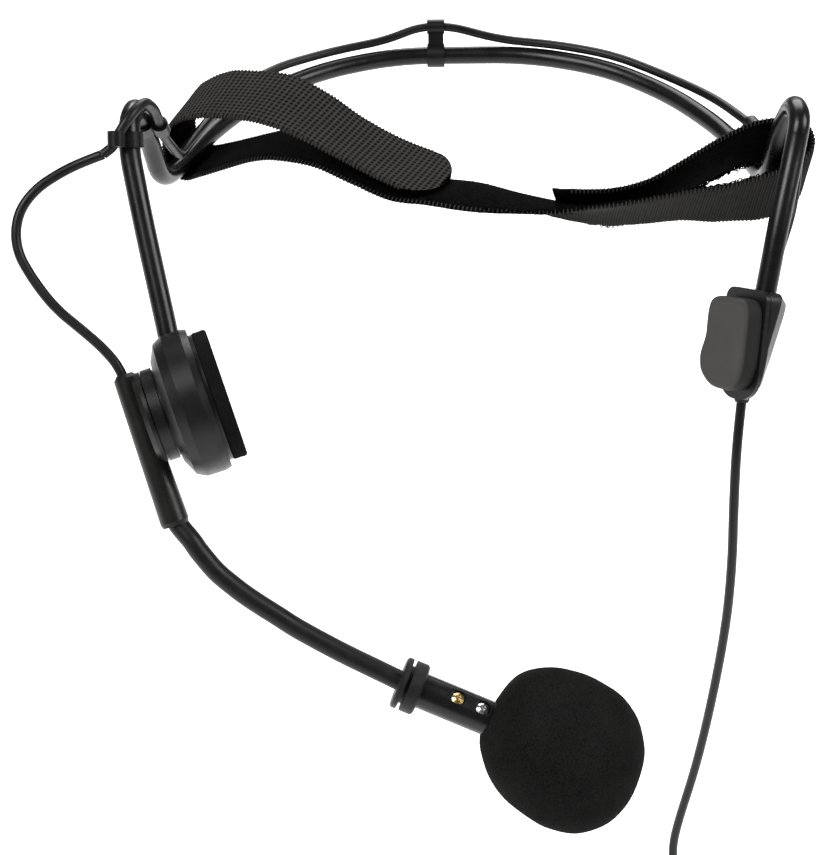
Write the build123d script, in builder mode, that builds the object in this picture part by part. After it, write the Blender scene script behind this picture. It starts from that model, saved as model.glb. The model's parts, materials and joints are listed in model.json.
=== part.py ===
from build123d import *
from math import cos, pi, sin, tan, radians
import os

# Headset microphone: a sleeved spring-wire frame that hooks over both ears, a boom on the left
# temple, a plain rest pad on the right temple, a hook-and-loop strap and one thin lead.
# Millimetres. +Z is up, the wearer faces -Y, and +X is on the right of someone facing the wearer.
# The origin is midway between the undersides of the two ear-hook crowns, where the ears carry it.

os.makedirs("parts", exist_ok=True)

# ---------------------------------------------------------------- driving dimensions
WIRE_R = 1.25            # spring wire inside the frame
SLEEVE_R = 2.5           # vinyl sleeve over the wire
SLEEVE_BORE_R = 1.27
CABLE_R = 1.2            # thin shielded cable
BOOM_R = 2.4             # gooseneck jacket
BOOM_BORE_R = 1.5
CORE_R = 1.45            # wound steel core of the gooseneck
RUNNING_GAP = 0.06       # radial clearance of every fit that moves
SEAT_GAP = 0.02          # radial clearance of every fit that doesn't
FACE_GAP = 0.05

EAR_X = 78.0             # half the distance between the two ear hooks
CROWN_Z = SLEEVE_R       # wire centre height over the ear

PAD_R = 15.5             # left foam disc
PAD_T = 3.5
CUP_R = 17.2             # left housing
HUB_R = 11.0             # fixed hub the boom turns on
HUB_TOP = 17.5           # hub face, measured outwards from the foam's face
STUB_R = 3.0             # boom pivot shaft
PIVOT_TO_TOP = 11.4      # pivot axis to the top of the boom holder
HOLDER_LENGTH = 36.9
HOLDER_TOP_R = 2.8
HOLDER_MOUTH_R = 3.4
HOLDER_AXIS_OUT = 21.1   # holder axis, measured outwards from the foam's face

RING_R = 6.2             # moisture ring at the end of the boom
RING_T = 5.6
BARREL_R = 4.2           # capsule barrel
BARREL_BORE_R = 2.9
BARREL_LENGTH = 38.0
SCREEN_R = 19.2          # foam windscreen
SCREEN_CENTRE = 38.5     # along the barrel from the moisture ring

REST_W = 17.6            # right rest pad
REST_H = 21.6
REST_T = 5.0
HOUSING_W = 14.2         # right housing
HOUSING_H = 26.0
HOUSING_BACK = 13.6      # its outer face, measured outwards from the pad's face

STRAP_W = 20.0
STRAP_T = 1.3

COIL_TURN_R = 13.5       # middle of the tied coil's turns
COIL_SECTION = 10.2      # the bundle of turns is about this wide and deep
PLUG_R = 1.75
PLUG_LENGTH = 14.0
PLUG_SLEEVE_OUT = 6.6    # the longest contact, outside the shell
PLUG_STEM_R = 1.3        # the same contact inside the shell

# ---------------------------------------------------------------- routes
# Frame wire, from inside the left housing over the left ear, round the back of the head,
# over the right ear and into the right housing.
FRAME_ROUTE = [
    (-67.6, -39.2, -44.7), (-68.8, -35.3, -39.0), (-74.6, -20.5, -18.0), (-EAR_X, -11.0, -4.0),
    (-EAR_X, -7.5, CROWN_Z), (-EAR_X, 1.5, CROWN_Z), (-EAR_X, 11.5, -8.0), (-77.6, 22.0, -27.0),
    (-74.6, 37.0, -29.5), (-69.5, 54.0, -28.7), (-58.0, 72.5, -26.0), (-41.0, 87.5, -24.2),
    (-19.0, 96.5, -23.3), (19.0, 96.5, -23.2), (41.0, 87.5, -23.7), (58.0, 72.5, -25.6),
    (69.8, 54.0, -27.6), (75.5, 37.0, -29.0), (77.4, 20.0, -27.0), (77.2, 10.5, -8.0),
    (EAR_X, 1.5, CROWN_Z), (EAR_X, -7.5, CROWN_Z), (76.8, -10.5, -4.0), (73.2, -20.3, -17.0),
    (68.9, -31.5, -40.6),
]

# Free loop of cable, from the top of the boom holder out and up to the first clip.
LOOP_ROUTE = [
    (-79.2, -43.4, -42.9), (-83.4, -40.6, -39.0), (-88.5, -38.2, -35.4), (-94.4, -35.6, -31.4),
    (-99.6, -32.0, -25.7), (-103.4, -28.4, -19.9), (-103.2, -24.2, -13.4), (-99.2, -20.4, -8.6),
    (-92.6, -16.6, -5.6), (-87.4, -14.9, -3.9), (-83.5, -14.22, -2.66),
]

# Cable held along the frame, from the first clip to the right housing.
HELD_ROUTE = [
    (-83.4, -14.2, -2.6), (-81.2, -13.7, -1.1), (-79.3, -12.8, 2.4), (-76.6, -9.8, 5.6),
    (-74.4, -4.6, 6.4), (-73.4, 1.0, 2.2), (-73.4, 5.4, -3.2), (-73.9, 11.0, -9.4),
    (-73.4, 18.0, -15.4), (-72.8, 25.4, -21.8), (-71.6, 38.0, -23.0), (-66.8, 55.4, -22.0),
    (-55.2, 79.0, -20.2), (-38.2, 91.5, -19.9), (-22.6, 97.0, -18.8), (-12.4, 99.0, -15.5),
    (-3.4, 99.0, -15.5), (10.7, 98.0, -19.1), (28.0, 94.6, -19.6), (43.3, 88.0, -20.2),
    (57.8, 76.9, -22.2), (68.9, 64.0, -23.0), (77.0, 46.2, -23.4),
    (80.6, 35.6, -26.4), (83.2, 25.2, -31.6), (83.15, 19.3, -29.0), (83.17, 14.7, -19.4),
    (83.15, 11.5, -12.8), (81.2, 5.0, -10.4), (79.0, -5.6, -13.8), (76.9, -14.6, -18.6),
    (74.0, -20.0, -25.4), (71.3, -24.6, -34.7),
]

# Lead that hangs from the right housing, down to the tied coil.
LEAD_ROUTE = [
    (66.15, -35.0, -53.6), (65.5, -38.2, -60.4), (65.0, -41.5, -69.4), (65.3, -43.9, -82.4),
    (66.2, -45.0, -98.6), (66.4, -45.3, -117.5), (65.0, -45.1, -143.2), (62.6, -45.0, -168.4),
    (59.2, -45.0, -189.8), (56.9, -45.0, -203.8), (56.8, -45.0, -211.0), (59.8, -45.0, -217.0),
]

# Strap, from its left end round the frame, across the head, round the right ear hook's rear leg
# and back: the front rim of the ribbon and the direction across it at each station.
STRAP_STATIONS = [
    ((-13.0, 7.2, -23.4), (8.2, 17.8, 1.6)), ((-22.7, 11.3, -20.6), (7.9, 18.3, 1.0)),
    ((-32.7, 15.2, -16.7), (7.6, 18.4, 1.2)), ((-42.9, 19.3, -13.0), (8.5, 17.8, 2.9)),
    ((-53.4, 24.5, -11.7), (8.9, 17.2, 5.0)), ((-64.2, 29.3, -12.6), (6.9, 18.1, 4.9)),
    ((-69.0, 31.4, -13.7), (6.7, 18.3, 4.6)), ((-73.3, 33.3, -15.4), (6.1, 18.7, 3.5)),
    ((-77.0, 35.0, -18.6), (6.1, 18.8, 3.1)), ((-78.8, 35.3, -24.5), (5.8, 18.8, 1.6)),
    ((-78.4, 36.0, -30.5), (5.6, 18.9, 1.0)), ((-74.7, 36.3, -33.4), (5.6, 18.9, 0.8)),
    ((-69.8, 33.0, -30.9), (7.6, 18.2, 1.0)), ((-59.8, 28.0, -25.6), (8.4, 17.9, 0.6)),
    ((-54.3, 25.2, -22.9), (8.4, 17.9, 0.2)), ((-48.0, 22.0, -21.1), (8.2, 18.1, -0.4)),
    ((-37.8, 17.0, -20.7), (7.8, 18.4, -1.2)), ((-28.0, 12.5, -23.3), (7.0, 18.6, -2.2)),
    ((-18.3, 9.3, -26.0), (6.0, 18.8, -3.2)), ((-8.8, 6.8, -26.7), (4.8, 18.9, -4.4)),
    ((2.0, 5.0, -26.9), (3.4, 18.9, -5.8)), ((13.2, 3.7, -27.3), (1.5, 17.9, -8.4)),
    ((22.7, 3.4, -26.8), (1.0, 16.9, -10.2)), ((33.7, 3.8, -25.7), (0.5, 15.0, -13.0)),
    ((43.6, 4.8, -24.6), (0.0, 13.7, -14.2)), ((55.9, 6.3, -22.6), (0.0, 12.3, -15.2)),
    ((63.8, 7.2, -22.0), (-0.3, 10.8, -16.4)), ((69.4, 7.8, -20.8), (-0.5, 9.8, -17.0)),
    ((75.2, 8.6, -19.3), (-0.4, 8.0, -18.0)), ((79.5, 9.3, -17.8), (0.0, 8.0, -18.0)),
    ((83.3, 9.8, -15.5), (0.0, 8.4, -17.6)), ((85.6, 11.0, -12.5), (0.0, 9.0, -17.2)),
    ((84.9, 13.0, -9.4), (0.0, 10.0, -16.6)), ((82.0, 14.6, -7.6), (0.0, 11.0, -16.0)),
    ((77.2, 15.0, -7.5), (-0.8, 10.8, -16.4)), ((71.4, 14.8, -8.4), (-0.6, 11.0, -16.5)),
    ((65.3, 13.9, -11.0), (-0.5, 11.0, -16.5)), ((59.1, 12.6, -14.3), (-0.5, 11.0, -16.5)),
    ((53.0, 11.3, -17.8), (-0.5, 11.0, -16.5)), ((46.1, 9.8, -21.2), (-0.5, 11.2, -16.4)),
    ((36.9, 8.0, -22.9), (-0.2, 12.4, -15.6)), ((25.8, 6.2, -22.2), (0.4, 14.2, -14.0)),
    ((21.9, 5.6, -21.7), (0.6, 14.8, -13.4)),
]

LEFT_PAD_FACE = Vector(-54.9, -43.8, -49.2)     # centre of the foam's face
LEFT_OUT = Vector(-0.939, -0.281, -0.200).normalized()
HOLDER_DOWN = Vector(0.317, -0.478, -0.819)
HOLDER_DOWN = (HOLDER_DOWN - LEFT_OUT * HOLDER_DOWN.dot(LEFT_OUT)).normalized()
PIVOT = LEFT_PAD_FACE + LEFT_OUT * HOLDER_AXIS_OUT
HOLDER_TOP = PIVOT - HOLDER_DOWN * PIVOT_TO_TOP
HOLDER_MOUTH = HOLDER_TOP + HOLDER_DOWN * HOLDER_LENGTH

RING_CENTRE = Vector(-12.4, -79.6, -107.9)
BARREL_DIR = Vector(0.924, -0.191, -0.332).normalized()

RIGHT_PAD_FACE = Vector(60.2, -34.8, -41.6)
RIGHT_OUT = Vector(0.870, 0.406, -0.274).normalized()
RIGHT_UP = Vector(0.085, 0.425, 0.901)
RIGHT_UP = (RIGHT_UP - RIGHT_OUT * RIGHT_UP.dot(RIGHT_OUT)).normalized()

COIL_CENTRE = Vector(50.0, -45.0, -228.0)
PLUG_X = COIL_CENTRE.X + COIL_TURN_R
BOOT_TOP = Vector(PLUG_X, -45.0, -250.0)


# ---------------------------------------------------------------- shared construction
def save(piece, name):
    piece.part.label = name
    export_step(piece.part, f"parts/{name}.step")


def bend_radii(points, share=0.45):
    """One radius per corner: as large as its two runs allow."""
    corners = [Vector(*point) for point in points]
    radii = []
    for before, here, after in zip(corners, corners[1:], corners[2:]):
        arriving = here - before
        leaving = after - here
        turn = radians(arriving.get_angle(leaving))
        radii.append(share * min(arriving.length, leaving.length) / tan(turn / 2))
    return radii


def swept(points, outer, inner=0.0, radii=None):
    """A round rod or tube along straight runs joined by tangent arcs."""
    with BuildPart() as piece:
        with BuildLine() as route:
            FilletPolyline(*points, radius=radii or bend_radii(points))
        with BuildSketch(route.line ^ 0):
            Circle(outer)
            if inner:
                Circle(inner, mode=Mode.SUBTRACT)
        sweep(path=route.line)
    return piece


def turned(outline, origin, axis_dir, side_dir):
    """A body of revolution from (radius, height) points about a line."""
    side = (side_dir - axis_dir * side_dir.dot(axis_dir)).normalized()
    with BuildPart() as piece:
        with BuildSketch(Plane(origin=origin, x_dir=side, z_dir=side.cross(axis_dir))):
            with BuildLine():
                Polyline(*outline, close=True)
            make_face()
        revolve(axis=Axis(tuple(origin), tuple(axis_dir)))
    return piece


def ring_outline(inner, outer, low, high):
    return [(inner, low), (outer, low), (outer, high), (inner, high)]


def left_turned(outline):
    return turned(outline, LEFT_PAD_FACE, LEFT_OUT, HOLDER_DOWN)


def right_plane(height, up=0.0, across=0.0):
    """A plane parallel to the right pad's face; x runs across and y runs up."""
    across_dir = RIGHT_UP.cross(RIGHT_OUT)
    origin = RIGHT_PAD_FACE + RIGHT_OUT * height + RIGHT_UP * up + across_dir * across
    return Plane(origin=origin, x_dir=across_dir, z_dir=RIGHT_OUT)


# ---------------------------------------------------------------- frame
frame_wire = swept(FRAME_ROUTE, WIRE_R)
save(frame_wire, "frame_wire")

SLEEVE_SHORTER = 3.2     # the wire stands this far out of each end of its sleeve


def shortened(points, amount):
    """The same route with both ends cut back along their straight runs."""
    ends = [Vector(*point) for point in points]
    first = ends[0] + (ends[1] - ends[0]).normalized() * amount
    last = ends[-1] + (ends[-2] - ends[-1]).normalized() * amount
    return [tuple(first)] + list(points[1:-1]) + [tuple(last)]


frame_radii = bend_radii(FRAME_ROUTE)
frame_sleeve = swept(shortened(FRAME_ROUTE, SLEEVE_SHORTER), SLEEVE_R, SLEEVE_BORE_R, frame_radii)
save(frame_sleeve, "frame_sleeve")

frame_cable = swept(HELD_ROUTE, CABLE_R)
save(frame_cable, "frame_cable")
print("held cable radii", [round(radius, 1) for radius in bend_radii(HELD_ROUTE)])

boom_cable_loop = swept(LOOP_ROUTE, CABLE_R)
save(boom_cable_loop, "boom_cable_loop")
print("loop radii", [round(radius, 1) for radius in bend_radii(LOOP_ROUTE)])

# Four moulded clips, each a ring round the sleeve, a ring round the cable and a web between them.
CLIP_WALL = 0.9
WEB_INSET = 0.3
CLIPS = {
    "left_front_clip": ((-78.0, -11.0, -4.0), (-78.0, -7.5, 2.5), (-80.2, -13.2, 0.7), 3.6),
    "left_rear_clip": ((-78.0, 1.5, 2.5), (-78.0, 11.5, -8.0), (-73.6, 7.6, -5.6), 4.2),
    "back_clip": ((-19.0, 96.5, -23.3), (19.0, 96.5, -23.2), (-7.9, 99.0, -15.5), 5.0),
    "right_clip": ((69.8, 54.0, -27.6), (75.5, 37.0, -29.0), (77.0, 46.2, -23.4), 4.2),
}


def nearest_on_run(start, end, point):
    run = (end - start).normalized()
    return start + run * (point - start).dot(run)


def frame_clip(run_start, run_end, cable_point, width):
    """A clip square to a straight run of the frame, reaching out to the cable."""
    start = Vector(*run_start)
    end = Vector(*run_end)
    cable = Vector(*cable_point)
    seat = nearest_on_run(start, end, cable)
    reach = (cable - seat).length
    with BuildPart() as piece:
        with BuildSketch(Plane(origin=seat, x_dir=cable - seat, z_dir=end - start)):
            Circle(SLEEVE_R + CLIP_WALL)
            with Locations((reach, 0)):
                Circle(CABLE_R + CLIP_WALL)
        extrude(amount=width / 2, both=True)
        with BuildSketch(Plane(origin=seat, x_dir=cable - seat, z_dir=end - start)):
            with Locations((reach / 2, 0)):
                Rectangle(reach, 2 * CABLE_R)
        extrude(amount=width / 2 - WEB_INSET, both=True)
        add(Solid.make_cylinder(SLEEVE_R + SEAT_GAP, 4 * width, Plane(
            origin=seat - (end - start).normalized() * 2 * width, z_dir=end - start)),
            mode=Mode.SUBTRACT)
        add(frame_sleeve.part, mode=Mode.SUBTRACT)
        add(frame_cable.part, mode=Mode.SUBTRACT)
    return piece


for clip_name, clip_place in CLIPS.items():
    save(frame_clip(*clip_place), clip_name)

# ---------------------------------------------------------------- strap
# One hook-and-loop ribbon. It goes round the frame behind each ear, twists a little on its way
# across the head, and its two ends come back over it.
def strap_section(before, here, after):
    """The ribbon's cross-section at one station, square to the way the ribbon runs there."""
    rim, across = Vector(*here[0]), Vector(*here[1]).normalized()
    run = Vector(*after[0]) - Vector(*before[0])
    run = run - across * run.dot(across)
    return Plane(origin=rim + across * STRAP_W / 2, x_dir=across, z_dir=run)


strap_before = [STRAP_STATIONS[0]] + STRAP_STATIONS[:-1]
strap_after = STRAP_STATIONS[1:] + [STRAP_STATIONS[-1]]
with BuildPart() as head_strap:
    for before, here, after in zip(strap_before, STRAP_STATIONS, strap_after):
        with BuildSketch(strap_section(before, here, after)):
            Rectangle(STRAP_W, STRAP_T)
    loft(ruled=True)
save(head_strap, "head_strap")

# ---------------------------------------------------------------- left housing and boom pivot
sleeve_in = Vector(*FRAME_ROUTE[0])
sleeve_out = Vector(*FRAME_ROUTE[1])
left_entry = (sleeve_in - sleeve_out).normalized()

with BuildPart() as left_housing_cup:
    add(left_turned([(15.3, 4.4), (CUP_R - 0.4, 4.4), (CUP_R, 6.0), (CUP_R - 0.1, 10.4), (15.9, 12.7),
                     (12.3, 14.4), (5.3, 14.4), (5.3, 12.8), (12.0, 12.8), (15.3, 10.6)]).part)
    add(Solid.make_cylinder(SLEEVE_R + SEAT_GAP, 14, Plane(origin=sleeve_out - left_entry * 6,
                                                          z_dir=left_entry)), mode=Mode.SUBTRACT)
save(left_housing_cup, "left_housing_cup")

with BuildPart() as left_pad_plate:
    add(left_turned([(0, PAD_T), (15.2, PAD_T), (15.2, 5.0), (9.0, 5.0), (9.0, 6.0), (7.8, 6.0),
                     (7.8, 5.0), (0, 5.0)]).part)
save(left_pad_plate, "left_pad_plate")
save(left_turned([(0, 0), (PAD_R, 0), (PAD_R, PAD_T), (0, PAD_T)]), "left_pad_foam")

ANCHOR_LENGTH = 2.9      # the wire's bare end sits in a clamp block
ANCHOR_W = 4.8
ANCHOR_H = 4.4
SET_SCREW_R = 0.8


def wire_anchor(wire_end, wire_dir, screw_dir, centre_shift=0.0):
    """A clamp block over the last stretch of bare wire, with its set screw beside it."""
    low = wire_end + wire_dir * 0.2 - wire_dir * ANCHOR_LENGTH
    with BuildPart() as block:
        with BuildSketch(Plane(origin=low, x_dir=screw_dir, z_dir=wire_dir)):
            with Locations((centre_shift, 0)):
                Rectangle(ANCHOR_W, ANCHOR_H)
            Circle(WIRE_R + SEAT_GAP, mode=Mode.SUBTRACT)
        extrude(amount=ANCHOR_LENGTH)
        middle = low + wire_dir * ANCHOR_LENGTH / 2
        add(Solid.make_cylinder(SET_SCREW_R + SEAT_GAP, ANCHOR_W,
                                Plane(origin=middle, z_dir=screw_dir)), mode=Mode.SUBTRACT)
    with BuildPart() as screw:
        with BuildSketch(Plane(origin=middle + screw_dir * (WIRE_R + SEAT_GAP), z_dir=screw_dir)):
            Circle(SET_SCREW_R)
        extrude(amount=ANCHOR_W / 2 + centre_shift - WIRE_R)
    return block, screw


across_left = left_entry.cross(LEFT_OUT).normalized()
left_wire_anchor, left_anchor_screw = wire_anchor(sleeve_in, left_entry, across_left)
save(left_wire_anchor, "left_wire_anchor")
save(left_anchor_screw, "left_anchor_screw")

STUB_END = 10.8
save(left_turned([(STUB_R + RUNNING_GAP, 12.0), (5.25, 12.0), (5.25, 14.4), (10.4, 14.4),
                  (10.4, 15.0), (HUB_R, 15.0), (HUB_R, HUB_TOP), (STUB_R + RUNNING_GAP, HUB_TOP)]),
     "pivot_hub")
save(left_turned(ring_outline(3.1, 9.8, HUB_TOP, HUB_TOP + 0.3)), "pivot_friction_washer")
save(left_turned(ring_outline(3.15, 4.7, STUB_END, 11.9)), "pivot_wave_washer")
save(left_turned(ring_outline(0.95, 4.8, STUB_END - 0.5, STUB_END)), "pivot_retaining_washer")
save(left_turned([(0, 8.9), (1.7, 8.9), (1.9, 9.2), (1.9, 10.3), (0.9, 10.3), (0.9, 16.4), (0, 16.4)]),
     "pivot_screw")

HOLDER_BORE_R = BOOM_R + RUNNING_GAP
LINER_LENGTH = 11.0
LINER_R = 2.75
BOSS_FACE = HUB_TOP + 0.3 + FACE_GAP
with BuildPart() as boom_holder:
    add(left_turned([(0.92, STUB_END), (STUB_R, STUB_END), (STUB_R, BOSS_FACE), (10.9, BOSS_FACE),
                     (10.9, 18.7), (10.1, 19.8), (0, 20.2), (0, 16.6), (0.92, 16.6)]).part)
    add(turned([(0, 0.0), (1.9, 0.0), (HOLDER_TOP_R, 1.0), (HOLDER_MOUTH_R, HOLDER_LENGTH - 1.0),
                (HOLDER_MOUTH_R - 0.3, HOLDER_LENGTH), (0, HOLDER_LENGTH)],
               HOLDER_TOP, HOLDER_DOWN, LEFT_OUT).part)
    add(turned([(0, 1.2), (HOLDER_BORE_R, 1.8), (HOLDER_BORE_R, HOLDER_LENGTH - LINER_LENGTH),
                (LINER_R + SEAT_GAP, HOLDER_LENGTH - LINER_LENGTH), (LINER_R + SEAT_GAP, HOLDER_LENGTH),
                (0, HOLDER_LENGTH)], HOLDER_TOP, HOLDER_DOWN, LEFT_OUT).part, mode=Mode.SUBTRACT)
    add(turned([(0, -1.0), (CABLE_R + SEAT_GAP, -1.0), (CABLE_R + SEAT_GAP, 2.0), (0, 2.0)],
               HOLDER_TOP, HOLDER_DOWN, LEFT_OUT).part, mode=Mode.SUBTRACT)
save(boom_holder, "boom_holder")
save(turned(ring_outline(HOLDER_BORE_R, LINER_R, HOLDER_LENGTH - LINER_LENGTH, HOLDER_LENGTH),
            HOLDER_TOP, HOLDER_DOWN, LEFT_OUT), "holder_liner")

# ---------------------------------------------------------------- boom
BOOM_TAIL_IN = 6.0       # how far the boom reaches past the pivot, inside the holder
DISH_R = 2.56            # dished end that rolls on the domed end before it
boom_tail = PIVOT - HOLDER_DOWN * BOOM_TAIL_IN
bend_corner = HOLDER_MOUTH + HOLDER_DOWN * 10.0
cheek_corner = RING_CENTRE - BARREL_DIR * 38.0
boom_tip = RING_CENTRE - BARREL_DIR * (RING_T / 2)
cheek_run = (cheek_corner - bend_corner).normalized()
front_run = (boom_tip - cheek_corner).normalized()
BEND_1_RADIUS = 21.0
BEND_2_RADIUS = 32.0
bend_1 = bend_corner + cheek_run * ((cheek_corner - bend_corner).length * 0.5)
bend_2 = cheek_corner + front_run * 19.0


def dish(centre):
    return Solid.make_sphere(DISH_R, Plane(origin=centre, z_dir=(0, 0, 1)))


def boom_segment(points, radius, bore, radii, domed_at=None, dished_at=None):
    """A stretch of the boom, domed where the next one rolls on it and dished where it rolls."""
    with BuildPart() as piece:
        if radii:
            add(swept(points, radius, bore, radii).part)
        else:
            run = Vector(*points[-1]) - Vector(*points[0])
            with BuildSketch(Plane(origin=points[0], z_dir=run)):
                Circle(radius)
                if bore:
                    Circle(bore, mode=Mode.SUBTRACT)
            extrude(amount=run.length)
        if domed_at:
            add(Solid.make_sphere(radius, Plane(origin=domed_at, z_dir=(0, 0, 1)), -90, 90, 360))
        if dished_at:
            add(dish(dished_at), mode=Mode.SUBTRACT)
    return piece


def pulled_back(point, direction, amount):
    return tuple(point - direction * amount)


CORE_INSET = 3.0
jacket_runs = {
    "rear": ([tuple(boom_tail), tuple(bend_corner), tuple(bend_1)], [BEND_1_RADIUS]),
    "middle": ([tuple(bend_1), tuple(cheek_corner), tuple(bend_2)], [BEND_2_RADIUS]),
    "front": ([tuple(bend_2), tuple(boom_tip)], None),
}
core_runs = {
    "rear": ([tuple(boom_tail), tuple(bend_corner), pulled_back(bend_1, cheek_run, CORE_INSET)],
             [BEND_1_RADIUS]),
    "middle": ([pulled_back(bend_1, cheek_run, -CORE_INSET), tuple(cheek_corner),
                pulled_back(bend_2, front_run, CORE_INSET)], [BEND_2_RADIUS]),
    "front": ([pulled_back(bend_2, front_run, -CORE_INSET), pulled_back(boom_tip, front_run, 0.4)],
              None),
}
domes = {"rear": bend_1, "middle": bend_2, "front": None}
dishes = {"rear": None, "middle": bend_1, "front": bend_2}
for stretch, (points, radii) in jacket_runs.items():
    save(boom_segment(points, BOOM_R, BOOM_BORE_R, radii, domes[stretch], dishes[stretch]),
         f"gooseneck_jacket_{stretch}")
for stretch, (points, radii) in core_runs.items():
    save(boom_segment(points, CORE_R, 0.0, radii), f"gooseneck_core_{stretch}")

# ---------------------------------------------------------------- capsule
def barrel_turned(outline):
    return turned(outline, RING_CENTRE, BARREL_DIR, Vector(0, 0, 1))


GROOVE_LOW = -1.3        # the groove is nearer the ring's rear face
with BuildPart() as moisture_ring:
    half = RING_T / 2
    add(barrel_turned([(0, -half), (RING_R - 0.5, -half), (RING_R, -half + 0.4), (RING_R, half - 0.4),
                       (RING_R - 0.5, half), (0, half)]).part)
    add(barrel_turned(ring_outline(RING_R - 1.6, RING_R + 1, GROOVE_LOW, GROOVE_LOW + 0.9)).part,
        mode=Mode.SUBTRACT)
save(moisture_ring, "moisture_ring")

# Screw flat on the side that faces forward and up.
FLAT_TILT = radians(72)  # up from straight ahead
flat_dir = Vector(0, -cos(FLAT_TILT), sin(FLAT_TILT))
flat_dir = (flat_dir - BARREL_DIR * flat_dir.dot(BARREL_DIR)).normalized()
SCREW_STATIONS = {"capsule_screw_brass": 11.2, "capsule_screw_steel": 17.4}
FLAT_DEPTH = 0.35
SCREW_HEAD_R = 1.5
SCREW_RECESS_R = 1.85
SCREW_SHANK_R = 0.6
barrel_start = RING_T / 2
with BuildPart() as capsule_barrel:
    add(barrel_turned([(0, barrel_start), (BARREL_R, barrel_start), (BARREL_R, BARREL_LENGTH),
                       (BARREL_BORE_R, BARREL_LENGTH), (BARREL_BORE_R, 21.0), (0, 21.0)]).part)
    flat_centre = RING_CENTRE + BARREL_DIR * 14.3 + flat_dir * (BARREL_R - FLAT_DEPTH)
    with BuildSketch(Plane(origin=flat_centre, x_dir=BARREL_DIR, z_dir=flat_dir)):
        SlotOverall(11.6, 3.8)
    extrude(amount=2, mode=Mode.SUBTRACT)
    for station in SCREW_STATIONS.values():
        seat = RING_CENTRE + BARREL_DIR * station + flat_dir * (BARREL_R - FLAT_DEPTH)
        add(Solid.make_cylinder(SCREW_RECESS_R, 2, Plane(origin=seat - flat_dir * 0.7,
                                                       z_dir=flat_dir)), mode=Mode.SUBTRACT)
        add(Solid.make_cylinder(SCREW_SHANK_R + SEAT_GAP, 4, Plane(origin=seat - flat_dir * 2.9,
                                                                  z_dir=flat_dir)),
            mode=Mode.SUBTRACT)
save(capsule_barrel, "capsule_barrel")

for screw_name, station in SCREW_STATIONS.items():
    seat = RING_CENTRE + BARREL_DIR * station + flat_dir * (BARREL_R - FLAT_DEPTH - 0.7)
    screw = turned([(0, -2.1), (SCREW_SHANK_R, -2.1), (SCREW_SHANK_R, 0), (SCREW_HEAD_R, 0),
                    (SCREW_HEAD_R, 0.35), (0.75, 0.75), (0, 0.8)], seat, flat_dir, BARREL_DIR)
    with BuildPart() as capsule_screw:
        add(screw.part)
        with BuildSketch(Plane(origin=seat + flat_dir * 0.45, x_dir=BARREL_DIR, z_dir=flat_dir)):
            Rectangle(1.8, 0.34)
            Rectangle(0.34, 1.8)
        extrude(amount=1, mode=Mode.SUBTRACT)
    save(capsule_screw, screw_name)

CAN_R = 2.4
save(barrel_turned(ring_outline(CAN_R + SEAT_GAP, BARREL_BORE_R - SEAT_GAP, 25.0, 36.0)), "capsule_boot")
save(barrel_turned([(0, 22.4), (2.1, 22.4), (2.1, 24.0), (0, 24.0)]), "capsule_board")
save(barrel_turned([(0, 26.0), (CAN_R, 26.0), (CAN_R, 35.0), (2.0, 35.0), (2.0, 27.0), (0, 27.0)]),
     "capsule_can")
save(barrel_turned([(0, 28.0), (1.9, 28.0), (1.9, 30.0), (0, 30.0)]), "capsule_backplate")
save(barrel_turned([(0, 30.6), (1.9, 30.6), (1.9, 30.8), (0, 30.8)]), "capsule_diaphragm")
with BuildPart() as capsule_grille:
    add(barrel_turned([(0, 36.2), (BARREL_BORE_R - SEAT_GAP, 36.2),
                       (BARREL_BORE_R - SEAT_GAP, 37.2), (0, 37.2)]).part)
    grille_centre = RING_CENTRE + BARREL_DIR * 36.0
    with BuildSketch(Plane(origin=grille_centre, z_dir=BARREL_DIR)):
        Circle(0.4)
        with PolarLocations(1.6, 6):
            Circle(0.4)
    extrude(amount=2, mode=Mode.SUBTRACT)
save(capsule_grille, "capsule_grille")

SCREEN_BORE_R = BARREL_R + 0.08
screen_back = SCREEN_CENTRE - SCREEN_R + 0.9
with BuildPart() as windscreen:
    screen_middle = RING_CENTRE + BARREL_DIR * SCREEN_CENTRE
    add(Solid.make_sphere(SCREEN_R, Plane(origin=screen_middle, x_dir=BARREL_DIR, z_dir=(0, -0.87, 0.5)),
                          -90, 90, 360))
    add(barrel_turned([(0, 0), (SCREEN_R, 0), (SCREEN_R, screen_back), (0, screen_back)]).part,
        mode=Mode.SUBTRACT)
    add(barrel_turned([(0, 0), (SCREEN_BORE_R, 0), (SCREEN_BORE_R, BARREL_LENGTH + 1.0),
                       (0, BARREL_LENGTH + 1.0)]).part, mode=Mode.SUBTRACT)
save(windscreen, "windscreen")

# ---------------------------------------------------------------- right housing and rest pad
HOUSING_ACROSS = -0.8
PLATE_FACE = REST_T
BODY_FACE = REST_T + 1.2


def housing_outline(width, height, lower_round):
    """A shield: squarish at the top and rounded at the bottom."""
    with BuildSketch(mode=Mode.PRIVATE) as outline:
        Rectangle(width, height)
        fillet(outline.vertices().group_by(Axis.Y)[0], lower_round)
        fillet(outline.vertices().group_by(Axis.Y)[-1], 2.6)
    return outline.sketch


with BuildPart() as right_rest_pad:
    with BuildSketch(right_plane(0)):
        RectangleRounded(REST_W - 1.6, REST_H - 1.6, 5.4)
    with BuildSketch(right_plane(1.1)):
        RectangleRounded(REST_W, REST_H, 6.2)
    loft()
    with BuildSketch(right_plane(1.1)):
        RectangleRounded(REST_W, REST_H, 6.2)
    extrude(amount=REST_T - 1.1)
save(right_rest_pad, "right_rest_pad")

with BuildPart() as right_pad_plate:
    with BuildSketch(right_plane(PLATE_FACE, across=HOUSING_ACROSS)):
        add(housing_outline(HOUSING_W + 0.8, HOUSING_H, 6.6))
    extrude(amount=1.15)
save(right_pad_plate, "right_pad_plate")

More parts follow.
